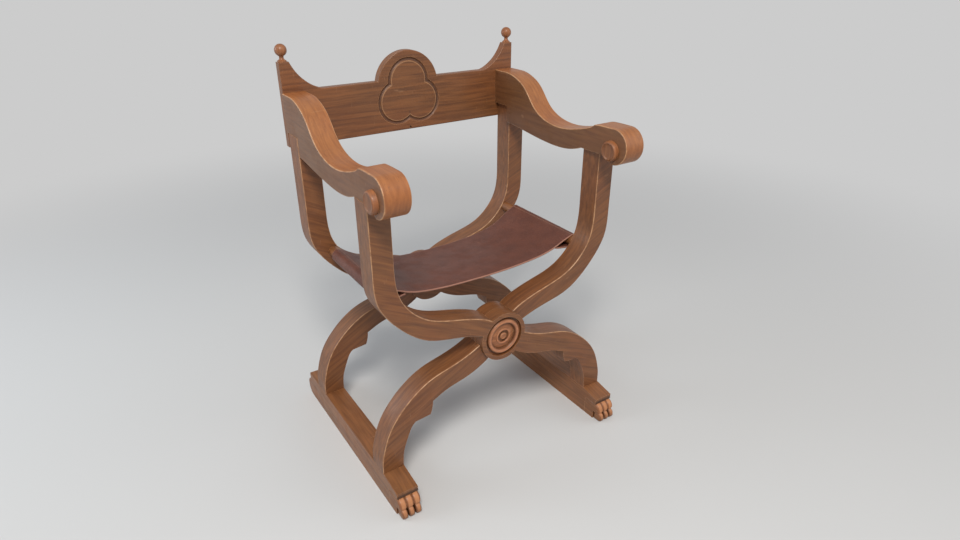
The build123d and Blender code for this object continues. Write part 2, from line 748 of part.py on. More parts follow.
keep("seat_sling", make_sling())
keep("back_board", make_board())
keep("board_pivot_screw", make_board_pin(
    upright_middle, pivot_z, member_front(1, 1) + member_depth,
    screw_radius, screw_length, screw_head_radius, screw_head_height))
keep("board_rest_peg", make_board_pin(
    -upright_middle, peg_z, member_front(0, 1) + member_depth,
    peg_radius, peg_length, peg_radius, peg_tail))

os.makedirs("parts", exist_ok=True)
for name, part in parts.items():
    export_step(part, f"parts/{name}.step")
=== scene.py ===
"""Looks of a folding savonarola chair: varnished wood, a leather sling seat and iron fittings.

Metres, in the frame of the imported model: the origin is on the floor under the middle of the
chair, +Z is up, and the chair faces -Y with its right side, seen from the front, at +X.
"""

import logging
import math
from collections.abc import Sequence
from dataclasses import dataclass
from enum import Enum

import bmesh
import bpy
import numpy as np
from mathutils import Euler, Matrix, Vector, noise


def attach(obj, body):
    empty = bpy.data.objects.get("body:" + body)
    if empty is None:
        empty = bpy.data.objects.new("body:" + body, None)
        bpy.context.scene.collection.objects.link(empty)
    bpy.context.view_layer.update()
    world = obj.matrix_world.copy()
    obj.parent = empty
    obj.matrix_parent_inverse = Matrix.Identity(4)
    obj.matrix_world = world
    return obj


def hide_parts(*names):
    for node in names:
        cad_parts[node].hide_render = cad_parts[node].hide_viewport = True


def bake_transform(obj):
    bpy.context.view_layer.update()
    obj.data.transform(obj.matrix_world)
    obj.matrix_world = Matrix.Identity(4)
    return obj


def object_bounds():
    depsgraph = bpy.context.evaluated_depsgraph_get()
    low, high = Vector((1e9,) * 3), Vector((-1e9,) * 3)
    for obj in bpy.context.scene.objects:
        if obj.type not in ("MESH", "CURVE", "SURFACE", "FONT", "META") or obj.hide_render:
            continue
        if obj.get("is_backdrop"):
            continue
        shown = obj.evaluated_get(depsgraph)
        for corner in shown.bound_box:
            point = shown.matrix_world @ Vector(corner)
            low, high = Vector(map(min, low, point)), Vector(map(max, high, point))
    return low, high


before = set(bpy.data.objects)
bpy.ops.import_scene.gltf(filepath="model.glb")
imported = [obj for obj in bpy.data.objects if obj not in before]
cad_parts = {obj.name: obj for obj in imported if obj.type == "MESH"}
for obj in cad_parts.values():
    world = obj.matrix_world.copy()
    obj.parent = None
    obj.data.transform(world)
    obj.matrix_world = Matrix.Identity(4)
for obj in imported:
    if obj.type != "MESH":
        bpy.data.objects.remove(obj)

log = logging.getLogger("chair")

Pair = tuple[float, float]
Triple = tuple[float, float, float]
Colour = tuple[float, float, float]
Socket = bpy.types.NodeSocket
Tree = bpy.types.NodeTree
Material = bpy.types.Material


def linear(red: int, green: int, blue: int) -> Colour:
    """Linear colour of an sRGB triple from 0 to 255."""
    def curve(value: float) -> float:
        """One channel's transfer curve."""
        return value / 12.92 if value <= 0.04045 else ((value + 0.055) / 1.055) ** 2.4

    return (curve(red / 255), curve(green / 255), curve(blue / 255))


class Axis(Enum):
    """Directions in the chair's frame."""

    X = (1.0, 0.0, 0.0)
    Y = (0.0, 1.0, 0.0)
    Z = (0.0, 0.0, 1.0)


@dataclass(frozen=True)
class Shades:
    """Places and joins shader nodes in one node tree."""

    tree: Tree

    def add(self, kind: str, **inputs: object) -> bpy.types.Node:
        """One node with its inputs set or linked.

        Args:
            kind: the node's type without the ShaderNode prefix.
            inputs: values or sockets by input name, with _ for a space, or by number as _0, _1.

        Returns:
            The new node.
        """
        node = self.tree.nodes.new("ShaderNode" + kind)
        self.fill(node.inputs, **inputs)
        return node

    def feed(self, target: Socket, value: object) -> None:
        """Link a socket to the target, or set a plain value on it."""
        if isinstance(value, Socket):
            self.tree.links.new(value, target)
        elif target.type == "RGBA":
            target.default_value = (*value, 1.0)
        else:
            target.default_value = value

    def fill(self, targets: bpy.types.NodeInputs, **values: object) -> None:
        """Feed a node's inputs, named as in add."""
        for key, value in values.items():
            name = int(key[1:]) if key[1:].isdigit() else key.replace("_", " ")
            self.feed(targets[name], value)

    def calc(self, operation: str, first: object, second: object = 0.0,
             third: object = 0.0) -> Socket:
        """Result of a Math node."""
        node = self.add("Math", _0=first, _1=second, _2=third)
        node.operation = operation
        return node.outputs[0]

    def fold(self, operation: str, first: object, *others: object) -> object:
        """Result of one operation carried through several values."""
        for other in others:
            first = self.calc(operation, first, other)
        return first

    def times(self, *factors: object) -> object:
        """Product of several values."""
        return self.fold("MULTIPLY", *factors)

    def away(self, value: object, middle: object) -> Socket:
        """Distance of a value from a middle."""
        return self.calc("ABSOLUTE", self.calc("SUBTRACT", value, middle))

    def dot(self, first: object, second: object) -> Socket:
        """Dot product of two vectors."""
        node = self.add("VectorMath", _0=first, _1=second)
        node.operation = "DOT_PRODUCT"
        return node.outputs["Value"]

    def blend(self, share: object, first: object, second: object) -> Socket:
        """Mix of two values, by share from first to second."""
        return self.add("Mix", _0=share, _2=first, _3=second).outputs[0]

    def tint(self, share: object, first: object, second: object, mode: str = "MIX") -> Socket:
        """Mix of two colours, by share from first to second."""
        node = self.tree.nodes.new("ShaderNodeMix")
        node.data_type = "RGBA"
        node.blend_type = mode
        self.feed(node.inputs["Factor"], share)
        for name, value in (("A", first), ("B", second)):
            self.feed(next(s for s in node.inputs if s.name == name and s.type == "RGBA"), value)
        return next(s for s in node.outputs if s.type == "RGBA")

    def layer(self, colour: object, *coats: tuple[object, float, object]) -> object:
        """Colour under several coats, each given by its mask, share and colour."""
        for mask, share, paint in coats:
            colour = self.tint(self.times(mask, share), colour, paint)
        return colour

    def step(self, value: object, low: float, high: float) -> Socket:
        """Smooth step of a value from 0 at low to 1 at high."""
        node = self.add("MapRange", _0=value, _1=low, _2=high)
        node.interpolation_type = "SMOOTHSTEP"
        return node.outputs[0]

    def cloud(self, place: object, scale: object, detail: float = 2.0,
              roughness: float = 0.5) -> Socket:
        """Noise value from 0 to 1 at a place."""
        node = self.add("TexNoise", Vector=place, Scale=scale, Detail=detail, Roughness=roughness)
        return node.outputs[0]

    def place(self) -> Socket:
        """Place in the chair's frame."""
        return self.add("TexCoord").outputs["Object"]

    def split(self, vector: object) -> bpy.types.NodeOutputs:
        """The X, Y and Z of a vector."""
        return self.add("SeparateXYZ", Vector=vector).outputs

    def group(self, tree: Tree, **inputs: object) -> bpy.types.NodeOutputs:
        """Outputs of a node group that is placed with its own values."""
        node = self.tree.nodes.new("ShaderNodeGroup")
        node.node_tree = tree
        self.fill(node.inputs, **inputs)
        return node.outputs


def new_group(name: str, inputs: dict[str, object], outputs: Sequence[str]
              ) -> tuple[Shades, bpy.types.NodeOutputs, bpy.types.NodeInputs]:
    """An empty shader node group with named inputs and outputs.

    Args:
        name: name of the group.
        inputs: number or vector that each input has by itself.
        outputs: names of the numbers that it puts out.

    Returns:
        The group's node placer, the sockets to read from and those to fill in.
    """
    tree = bpy.data.node_groups.new(name, "ShaderNodeTree")
    for label, value in inputs.items():
        kind = "NodeSocketVector" if isinstance(value, tuple) else "NodeSocketFloat"
        socket = tree.interface.new_socket(label, in_out="INPUT", socket_type=kind)
        socket.default_value = value
    for label in outputs:
        tree.interface.new_socket(label, in_out="OUTPUT", socket_type="NodeSocketFloat")
    given, result = tree.nodes.new("NodeGroupInput"), tree.nodes.new("NodeGroupOutput")
    return Shades(tree), given.outputs, result.inputs


@dataclass(frozen=True)
class Grain:
    """Wood grain in a plank's own directions: streaks, growth rings, redder patches and pores."""

    wave_scale: float = 9.0
    side_slant: float = 0.8
    depth_share: float = 0.25
    streak_stretch: float = 22.0
    streak_share: float = 0.62
    ring_stretch: float = 16.0
    ring_scale: float = 0.28
    ring_turns: float = 42.0
    ring_share: float = 0.38
    pore_stretch: float = 30.0
    pore_scale: float = 5.0
    patch_scale: float = 7.0
    tone_height: float = 0.4

    def group(self) -> Tree:
        """Build the effect.

        Returns:
            A group that puts out the streaks' tone, masks of patches and pores, and a height.
        """
        shades, given, result = new_group("plank_grain", {
            "Along": Axis.X.value, "Across": Axis.Z.value, "Through": Axis.Y.value,
            "Streak Scale": 150.0, "Waviness": 0.006,
        }, ("Tone", "Patch", "Pores", "Height"))
        place = shades.add("TexCoord")
        point, normal = place.outputs["Object"], place.outputs["Normal"]
        along, across = shades.dot(point, given["Along"]), shades.dot(point, given["Across"])
        through = shades.dot(point, given["Through"])
        facing = shades.calc("ABSOLUTE", shades.dot(normal, given["Through"]))
        face = shades.step(facing, 0.55, 0.75)
        wave = shades.calc("SUBTRACT", shades.cloud(point, self.wave_scale), 0.5)
        side = shades.blend(face, through, across)
        side = shades.calc("ADD", side, shades.times(wave, given["Waviness"]))
        slanted = shades.calc("ADD", along, shades.times(across, self.side_slant))
        length = shades.blend(face, slanted, along)
        depth = shades.times(shades.blend(face, across, through), self.depth_share)

        def stretched(stretch: float) -> Socket:
            """Place in the plank, shortened along the grain by a factor."""
            down = shades.calc("DIVIDE", length, stretch)
            return shades.add("CombineXYZ", X=side, Y=depth, Z=down).outputs[0]

        scale = given["Streak Scale"]
        streaks = shades.cloud(stretched(self.streak_stretch), scale, 4.0, 0.62)
        bands = shades.cloud(stretched(self.ring_stretch), shades.times(scale, self.ring_scale))
        rings = shades.calc("SINE", shades.times(bands, self.ring_turns))
        rings = shades.calc("MULTIPLY_ADD", rings, 0.5, 0.5)
        tone = shades.calc("ADD", shades.times(shades.step(streaks, 0.3, 0.7), self.streak_share),
                           shades.times(rings, self.ring_share))
        fine = shades.cloud(stretched(self.pore_stretch), shades.times(scale, self.pore_scale))
        pores = shades.step(fine, 0.6, 0.72)
        patch = shades.step(shades.cloud(point, self.patch_scale), 0.35, 0.65)
        height = shades.calc("SUBTRACT", shades.times(tone, self.tone_height), pores)
        shades.fill(result, Tone=tone, Patch=patch, Pores=pores, Height=height)
        return shades.tree


@dataclass(frozen=True)
class EdgeWearAndPaintedLight:
    """Worn edges, partly real and partly painted highlight, on the rounded rims of a plank and every
    sharp arris, and painted shade in the hollows.
    """

    patch_scale: float = 60.0
    least: float = 0.35
    hollow_reach: float = 0.02
    samples: int = 4

    def group(self) -> Tree:
        """Build the effect.

        Returns:
            A group that puts out a mask of the worn edges, partly painted highlight, and one of
            painted shade in the hollows.
        """
        shades, given, result = new_group(
            "edge_wear_and_painted_light", {"Through": Axis.Y.value, "Rim": 1.0, "Radius": 0.0016},
            ("Edge", "Hollow"))
        place = shades.add("TexCoord").outputs
        facing = shades.calc("ABSOLUTE", shades.dot(place["Normal"], given["Through"]))
        rim = shades.times(shades.step(facing, 0.12, 0.45), shades.step(facing, 0.99, 0.88),
                           given["Rim"])
        bevel = shades.add("Bevel", Radius=given["Radius"])
        bevel.samples = self.samples
        flat = shades.add("NewGeometry").outputs["Normal"]
        turn = shades.calc("SUBTRACT", 1.0, shades.dot(bevel.outputs[0], flat))
        bent = shades.step(turn, 0.02, 0.12)
        patchy = shades.step(shades.cloud(place["Object"], self.patch_scale, 3.0, 0.6), 0.32, 0.62)
        # Painted shade: ambient occlusion gives the mask of the hollows.
        hollow = shades.add("AmbientOcclusion", Distance=self.hollow_reach)
        hollow.samples = self.samples
        hollow.only_local = True
        edge = shades.times(shades.calc("MAXIMUM", rim, bent),
                            shades.blend(patchy, self.least, 1.0))
        shades.fill(result, Edge=edge, Hollow=shades.step(hollow.outputs["AO"], 0.75, 0.3))
        return shades.tree


@dataclass(frozen=True)
class HandlingMarks:
    """Fine scratches and dull patches that use leaves in a finish."""

    # Turn and squeeze of each set of scratches.
    sets: tuple[tuple[Triple, Triple], ...] = (
        ((0.4, 0.2, 1.1), (260.0, 16.0, 30.0)), ((1.2, 0.9, 0.3), (14.0, 240.0, 40.0)))
    scratch_scale: float = 1.3
    dull_scale: float = 24.0

    def group(self) -> Tree:
        """Build the effect.

        Returns:
            A group that puts out a mask of the scratches and one of the dull patches.
        """
        shades, given, result = new_group("handling_marks", {"Scale": 1.0}, ("Scratches", "Dull"))
        point = shades.place()
        marks: list[Socket] = []
        for turn, squeeze in self.sets:
            mapped = shades.add("Mapping", Vector=point, Rotation=turn, Scale=squeeze).outputs[0]
            scale = shades.times(given["Scale"], self.scratch_scale)
            marks.append(shades.step(shades.cloud(mapped, scale, 2.0, 0.45), 0.7, 0.78))
        dull = shades.cloud(point, shades.times(given["Scale"], self.dull_scale), 3.0, 0.6)
        shades.fill(result, Scratches=shades.fold("MAXIMUM", *marks),
                    Dull=shades.step(dull, 0.4, 0.7))
        return shades.tree


@dataclass(frozen=True)
class Effects:
    """The node groups that the finishes share."""

    grain: Tree
    wear_and_light: Tree
    handling: Tree

    @classmethod
    def build(cls) -> "Effects":
        """Make each group once."""
        return cls(Grain().group(), EdgeWearAndPaintedLight().group(), HandlingMarks().group())


def new_material(name: str) -> tuple[Material, Shades, bpy.types.Node]:
    """A material with one Principled BSDF.

    Args:
        name: name of the material.

    Returns:
        The material, its node placer and its shader.
    """
    material = bpy.data.materials.new(name)
    material.use_nodes = True
    shades = Shades(material.node_tree)
    return material, shades, material.node_tree.nodes["Principled BSDF"]


@dataclass(frozen=True)
class WoodFinish:
    """Satin varnish on reddish-brown wood, with the grain along one direction.

    In every finish a share says how strong a mark is, and the two numbers of a pair say where
    the mark starts and from where on it is full.
    """

    name: str
    along: Triple
    across: Triple
    through: Triple
    light: Colour = linear(131, 83, 46)
    dark: Colour = linear(97, 59, 33)
    # Worn colour, also used as painted highlight on edges and on the board's lip.
    rubbed_and_highlight: Colour = linear(206, 160, 118)
    pore: Colour = linear(66, 38, 24)
    shaded: Colour = linear(58, 34, 23)
    redness: Colour = (1.05, 0.92, 0.85)
    # Painted shade: a darker, cooler tint for the faces that look along the through direction.
    side_shade_tint: Colour = (1.0, 1.0, 1.0)
    rim: float = 1.0
    patch_share: float = 0.6
    pore_share: float = 0.3
    hollow_share: float = 0.6
    scratch_share: float = 0.16
    edge_share: float = 0.6
    roughness: float = 0.47
    dullness: float = 0.12
    edge_polish: float = 0.08
    coat: float = 0.14
    relief: float = 0.00025

    def accent(self, shades: Shades, colour: Socket, hollow: Socket) -> Socket:
        """Colour changes of one kind of piece, on top of the shared wood.

        Args:
            shades: the node placer; not used here.
            colour: colour so far.
            hollow: mask of the hollows; not used here.

        Returns:
            The changed colour.
        """
        return colour

    def make(self, effects: Effects) -> Material:
        """Build the material.

        Args:
            effects: the shared node groups.

        Returns:
            The wood material.
        """
        material, shades, shader = new_material(self.name)
        grain = shades.group(effects.grain, Along=self.along, Across=self.across,
                             Through=self.through)
        wear_and_light = shades.group(effects.wear_and_light, Through=self.through, Rim=self.rim)
        marks = shades.group(effects.handling, Scale=1.0)
        colour = shades.tint(grain["Tone"], self.dark, self.light)
        reddened = shades.tint(1.0, colour, self.redness, "MULTIPLY")
        colour = shades.layer(colour, (grain["Patch"], self.patch_share, reddened))
        # Painted shade on faces that look along the through direction.
        if self.side_shade_tint != (1.0, 1.0, 1.0):
            normal = shades.add("TexCoord").outputs["Normal"]
            side = shades.step(shades.calc("ABSOLUTE", shades.dot(normal, self.through)), 0.6, 0.9)
            colour = shades.tint(side, colour, shades.tint(1.0, colour, self.side_shade_tint, "MULTIPLY"))
        # The pores are the wood's own colour; the hollows get painted shade.
        colour = shades.layer(colour, (grain["Pores"], self.pore_share, self.pore),
                              (wear_and_light["Hollow"], self.hollow_share, self.shaded))
        # Scratches are worn marks; the edges get worn colour that is partly painted highlight.
        colour = shades.layer(self.accent(shades, colour, wear_and_light["Hollow"]),
                              (marks["Scratches"], self.scratch_share, self.rubbed_and_highlight),
                              (wear_and_light["Edge"], self.edge_share, self.rubbed_and_highlight))
        rough = shades.calc("ADD", self.roughness, shades.times(marks["Dull"], self.dullness))
        rough = shades.calc("SUBTRACT", rough, shades.times(wear_and_light["Edge"], self.edge_polish))
        height = shades.calc("SUBTRACT", grain["Height"], marks["Scratches"])
        bump = shades.add("Bump", Strength=0.5, Distance=self.relief, Height=height).outputs[0]
        shades.fill(shader.inputs, Base_Color=colour, Roughness=rough, Normal=bump,
                    Coat_Weight=self.coat, Coat_Roughness=0.22)
        return material


# Lobes of the board's trefoil: middle x, middle z, radius.
TREFOIL: tuple[Triple, ...] = (
    (0.0, 0.870, 0.052), (-0.0318, 0.8196, 0.050), (0.0318, 0.8196, 0.050))


@dataclass(frozen=True)
class BoardFinish(WoodFinish):
    """Board wood with painted shade in the carved trefoil and a painted highlight along the trefoil's
    inner lip.
    """

    face: float = 0.2063
    face_reach: Pair = (0.006, 0.004)
    groove_reach: Pair = (0.0044, 0.0012)
    groove_shade_share: float = 0.62
    tail_z: float = 0.787
    tail_width: Pair = (0.0022, 0.0008)
    tail_length: Pair = (0.012, 0.006)
    tail_shade_share: float = 0.75
    lip_inset: float = 0.0052
    lip_reach: Pair = (0.0016, 0.0004)
    lip_highlight_share: float = 0.3

    def accent(self, shades: Shades, colour: Socket, hollow: Socket) -> Socket:
        """Paint shade into the groove and a highlight onto its inner lip, by the distance from the
        outline.

        Args:
            shades: the node placer.
            colour: colour so far.
            hollow: mask of the hollows; not used here.

        Returns:
            The changed colour.
        """
        parts = shades.split(shades.place())
        lobes: list[Socket] = []
        for middle_x, middle_z, radius in TREFOIL:
            aside = shades.calc("SUBTRACT", parts["X"], middle_x)
            up = shades.calc("SUBTRACT", parts["Z"], middle_z)
            square = shades.calc("ADD", shades.times(aside, aside), shades.times(up, up))
            lobes.append(shades.calc("SUBTRACT", shades.calc("SQRT", square), radius))
        outline = shades.fold("MINIMUM", *lobes)
        front = shades.step(parts["Y"], *(self.face + reach for reach in self.face_reach))
        groove = shades.step(shades.calc("ABSOLUTE", outline), *self.groove_reach)
        # Painted shade in a short tail below the trefoil.
        tail = shades.times(
            shades.step(shades.calc("ABSOLUTE", parts["X"]), *self.tail_width),
            shades.step(shades.away(parts["Z"], self.tail_z), *self.tail_length), self.tail_shade_share)
        groove = shades.calc("MAXIMUM", groove, tail)
        lip = shades.step(shades.away(outline, -self.lip_inset), *self.lip_reach)
        # Painted shade in the groove and painted highlight on its inner lip, on the front face only.
        return shades.layer(
            colour, (shades.times(groove, front), self.groove_shade_share, self.shaded),
            (shades.times(lip, front), self.lip_highlight_share, self.rubbed_and_highlight))


@dataclass(frozen=True)
class RosetteFinish(WoodFinish):
    """Turned wood with painted highlight on its raised rings and painted shade in the cuts between
    them.

    Each ring is given by the radius of its middle, its half width and its share.
    """

    axis_height: float = 0.341
    cuts: tuple[Triple, ...] = (
        (0.0471, 0.0042, 1.0), (0.0347, 0.0042, 0.75), (0.012, 0.004, 0.7))
    crests: tuple[Triple, ...] = ((0.0387, 0.0040, 0.5), (0.018, 0.003, 0.35))
    full_width: float = 0.45
    cut_share: float = 0.55
    crest_highlight: Colour = linear(192, 128, 92)
    cut_shade: Colour = linear(56, 33, 21)

    def accent(self, shades: Shades, colour: Socket, hollow: Socket) -> Socket:
        """Paint highlight on the crests and shade into the cuts, by the distance from the rosette's
        axis.

        Args:
            shades: the node placer.
            colour: colour so far.
            hollow: mask of the hollows; not used here.

        Returns:
            The changed colour.
        """
        parts = shades.split(shades.place())
        height = shades.calc("SUBTRACT", parts["Z"], self.axis_height)
        square = shades.calc("ADD", shades.times(parts["X"], parts["X"]),
                             shades.times(height, height))
        radius = shades.calc("SQRT", square)

        def strongest(rings: Sequence[Triple]) -> object:
            """Mask of rings round the axis, soft at both sides."""
            return shades.fold("MAXIMUM", *(
                shades.times(shades.step(shades.away(radius, middle), half_width,
                                         half_width * self.full_width), share)
                for middle, half_width, share in rings))

        # Painted shade in the cuts, painted highlight on the crests.
        return shades.layer(colour, (strongest(self.cuts), self.cut_share, self.cut_shade),
                            (strongest(self.crests), 1.0, self.crest_highlight))


@dataclass(frozen=True)
class RunnerFinish(WoodFinish):
    """Runner wood with a painted shadow along the lower edge of the slab's front."""

    slab_front: float = -0.271
    front_reach: Pair = (0.0012, 0.0004)
    slab_shadow_height: Pair = (0.0600, 0.0570)
    slab_shadow_share: float = 0.8
    slab_shadow: Colour = linear(52, 31, 19)

    def accent(self, shades: Shades, colour: Socket, hollow: Socket) -> Socket:
        """Colour with a painted shadow on the lower part of the slab's front face."""
        parts = shades.split(shades.place())
        front = shades.step(parts["Y"], *(self.slab_front + reach for reach in self.front_reach))
        low = shades.step(parts["Z"], *self.slab_shadow_height)
        return shades.layer(colour, (shades.times(front, low), self.slab_shadow_share, self.slab_shadow))


@dataclass(frozen=True)
class PawFinish(WoodFinish):
    """Runner wood whose carved toes have painted highlight on their ridges and painted shade between
    them.
    """

    toe_place: Pair = (-0.262, -0.272)
    toe_share: float = 0.75
    ridge_facing: Pair = (0.55, 0.0)
    cleft_shade_share: float = 0.85
    claw_height: Pair = (0.030, 0.004)
    claw_share: float = 0.5
    toe: Colour = linear(140, 85, 50)
    ridge_highlight: Colour = linear(200, 134, 88)
    cleft_shade: Colour = linear(70, 38, 24)
    claw: Colour = linear(84, 52, 34)

    def accent(self, shades: Shades, colour: Socket, hollow: Socket) -> Socket:
        """Paint highlight onto the toes towards their ridges, in front of the slab that covers them.

        Args:
            shades: the node placer.
            colour: colour so far.
            hollow: mask of painted shade in the hollows.

        Returns:
            The changed colour.
        """
        place = shades.add("TexCoord").outputs
        parts = shades.split(place["Object"])
        sideways = shades.calc("ABSOLUTE", shades.dot(place["Normal"], Axis.X.value))
        ahead = shades.times(shades.step(parts["Y"], *self.toe_place),
                             shades.step(sideways, 0.98, 0.8))
        # Painted highlight on the toes' faces that turn away from the sides.
        toe = shades.tint(shades.step(sideways, *self.ridge_facing), self.toe, self.ridge_highlight)
        low = shades.step(parts["Z"], *self.claw_height)
        # Painted shade in the hollows between the toes; darker towards the floor below the claw
        # height.
        toe = shades.layer(toe, (hollow, self.cleft_shade_share, self.cleft_shade),
                           (low, self.claw_share, self.claw))
        return shades.layer(colour, (ahead, self.toe_share, toe))


@dataclass(frozen=True)
class LeatherFinish:
    """Reddish-brown pebbled leather, darker in its creases and paler along its cut edges."""

    name: str = "sling_leather"
    light: Colour = linear(116, 68, 52)
    dark: Colour = linear(91, 52, 40)
    edge: Colour = linear(190, 140, 120)
    crease: Colour = linear(62, 34, 30)
    thread: Colour = linear(158, 112, 88)
    width: float = 0.25
    cut_inset: Pair = (0.0026, 0.0012)
    cut_share: float = 0.55
    pebble_scale: float = 620.0
    pebble_warp: float = 0.0016
    crease_share: float = 0.35
    patch_scale: float = 26.0
    mottle_scale: float = 240.0
    mottle_share: float = 0.55
    scratch_share: float = 0.15
    edge_share: float = 0.5
    roughness: float = 0.5
    dullness: float = 0.14
    seam_place: float = 0.27
    seam_reach: Pair = (0.004, 0.0005)
    seam_share: float = 0.4
    stitch_length: float = 0.0062
    stitch_half_width: float = 0.0006
    relief: float = 0.0004

    def make(self, effects: Effects) -> Material:
        """Build the material.

        Args:
            effects: the shared node groups.

        Returns:
            The leather material.
        """
        material, shades, shader = new_material(self.name)
        laid = shades.add("UVMap")
        laid.uv_map = "laid_flat"
        point = laid.outputs[0]
        warp = shades.add("TexNoise", Vector=point, Scale=220.0, Detail=2.0).outputs["Color"]
        bent = shades.add("VectorMath", _0=warp, _1=(self.pebble_warp,) * 3, _2=point)
        bent.operation = "MULTIPLY_ADD"
        cells = shades.add("TexVoronoi", Vector=bent.outputs[0], Scale=self.pebble_scale)
        pebble = shades.step(cells.outputs["Distance"], 0.75, 0.1)
        patches = shades.cloud(point, self.patch_scale, 4.0, 0.6)
        mottle = shades.cloud(point, self.mottle_scale, 3.0, 0.65)
        wear_and_light = shades.group(effects.wear_and_light, Through=Axis.Y.value, Rim=0.0, Radius=0.002)
        marks = shades.group(effects.handling, Scale=0.8)
        tone = shades.calc("ADD", shades.times(patches, 1 - self.mottle_share),
                           shades.times(mottle, self.mottle_share))
        parts = shades.split(point)
        from_seam = shades.away(shades.calc("ABSOLUTE", parts["Y"]), self.seam_place)
        dash = shades.calc("FRACT", shades.calc("DIVIDE", parts["X"], self.stitch_length))
        dash = shades.times(shades.step(dash, 0.0, 0.16), shades.step(dash, 0.86, 0.7))
        stitch = shades.step(from_seam, *(self.stitch_half_width * part for part in (1.4, 0.6)))
        thread = shades.times(dash, stitch)
        seam = shades.step(from_seam, *self.seam_reach)
        half = shades.away(parts["X"], self.width / 2)
        cut = shades.step(half, *(self.width / 2 - inset for inset in self.cut_inset))
        hollow = shades.calc("SUBTRACT", 1.0, pebble)
        # The bent edges get pale colour that is partly worn and partly painted highlight.
        colour = shades.layer(
            shades.tint(shades.step(tone, 0.36, 0.64), self.dark, self.light),
            (seam, self.seam_share, self.dark), (hollow, self.crease_share, self.crease),
            (marks["Scratches"], self.scratch_share, self.edge),
            (wear_and_light["Edge"], self.edge_share, self.edge), (thread, 1.0, self.thread),
            (cut, self.cut_share, self.edge))
        height = shades.calc("ADD", pebble, shades.times(mottle, 0.6))
        height = shades.calc("SUBTRACT", height, shades.times(seam, 1.6))
        height = shades.calc("ADD", height, shades.times(thread, 2.2))
        bump = shades.add("Bump", Strength=0.6, Distance=self.relief, Height=height).outputs[0]
        rough = shades.calc("ADD", self.roughness, shades.times(marks["Dull"], self.dullness))
        shades.fill(shader.inputs, Base_Color=colour, Roughness=rough, Normal=bump,
                    Specular_IOR_Level=0.42)
        return material


@dataclass(frozen=True)
class IronFinish:
    """Forged iron, blackened and worn bright along its edges."""

    name: str = "blackened_iron"
    dark: Colour = linear(62, 60, 58)
    bright: Colour = linear(150, 146, 140)
    rust: Colour = linear(96, 62, 42)
    rust_scale: float = 130.0
    rust_share: float = 0.5
    edge_share: float = 0.8
    roughness: float = 0.42
    dullness: float = 0.2
    pit_scale: float = 400.0
    relief: float = 0.0003

    def make(self, effects: Effects) -> Material:
        """Build the material.

        Args:
            effects: the shared node groups.

        Returns:
            The iron material.
        """
        material, shades, shader = new_material(self.name)
        point = shades.place()
        wear_and_light = shades.group(effects.wear_and_light, Through=Axis.Y.value, Rim=0.0, Radius=0.001)
        marks = shades.group(effects.handling, Scale=3.0)
        rusty = shades.step(shades.cloud(point, self.rust_scale, 4.0, 0.6), 0.55, 0.7)
        colour = shades.layer(self.dark, (rusty, self.rust_share, self.rust),
                              (wear_and_light["Edge"], self.edge_share, self.bright))
        rough = shades.calc("ADD", self.roughness, shades.times(marks["Dull"], self.dullness))
        pits = shades.cloud(point, self.pit_scale, 3.0)
        bump = shades.add("Bump", Strength=0.4, Distance=self.relief, Height=pits).outputs[0]
        metal = shades.calc("SUBTRACT", 1.0, shades.times(rusty, 0.6))
        shades.fill(shader.inputs, Base_Color=colour, Roughness=rough, Metallic=metal, Normal=bump)
        return material


def dress(names: Sequence[str], material: Material) -> None:
    """Give CAD nodes a material.

    Args:
        names: the nodes.
        material: what they are made of.
    """
    for name in names:
        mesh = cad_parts[name].data
        mesh.materials.clear()
        mesh.materials.append(material)
        log.info("%s wears %s", name, material.name)


def new_object(name: str, data: bpy.types.ID) -> bpy.types.Object:
    """An object with its data, linked to the scene."""
    made = bpy.data.objects.new(name, data)
    bpy.context.scene.collection.objects.link(made)
    return made


def new_piece(name: str, vertices: Sequence[Triple], faces: Sequence[Sequence[int]],
              material: Material) -> bpy.types.Object:
    """A mesh object from points and faces, smooth shaded.

    Args:
        name: name of the piece.
        vertices: its points in metres.
        faces: its faces by point number.
        material: what it is made of.

    Returns:
        The new object, linked to the scene.
    """
    mesh = bpy.data.meshes.new(name)
    mesh.from_pydata([tuple(v) for v in vertices], [], [tuple(f) for f in faces])
    mesh.validate()
    mesh.shade_smooth()
    mesh.materials.append(material)
    return new_object(name, mesh)


def apply_modifiers(piece: bpy.types.Object) -> None:
    """Turn a piece's modifiers into its own mesh."""
    graph = bpy.context.evaluated_depsgraph_get()
    mesh = bpy.data.meshes.new_from_object(piece.evaluated_get(graph))
    piece.modifiers.clear()
    piece.data = mesh


def smooth_line(points: Sequence[Sequence[float]], spacing: float, steps: int = 24) -> np.ndarray:
    """Points at an even spacing on a smooth line through the given ones.

    Args:
        points: the points that the line passes.
        spacing: distance between the results.
        steps: how finely each stretch between two points is followed.

    Returns:
        One row for each point.
    """
    corners = np.array(points, float)
    padded = np.vstack([2 * corners[0] - corners[1], corners, 2 * corners[-1] - corners[-2]])
    rows: list[np.ndarray] = []
    for before, start, end, after in zip(padded, padded[1:], padded[2:], padded[3:]):
        for step in np.linspace(0, 1, steps, endpoint=False):
            rows.append(0.5 * (2 * start + (end - before) * step
                               + (2 * before - 5 * start + 4 * end - after) * step ** 2
                               + (3 * start - before - 3 * end + after) * step ** 3))
    dense = np.vstack([*rows, corners[-1]])
    reach = np.concatenate([[0], np.cumsum(np.linalg.norm(np.diff(dense, axis=0), axis=1))])
    count = max(2, round(reach[-1] / spacing) + 1)
    wanted = np.linspace(0, reach[-1], count)
    return np.stack([np.interp(wanted, reach, column) for column in dense.T], axis=1)


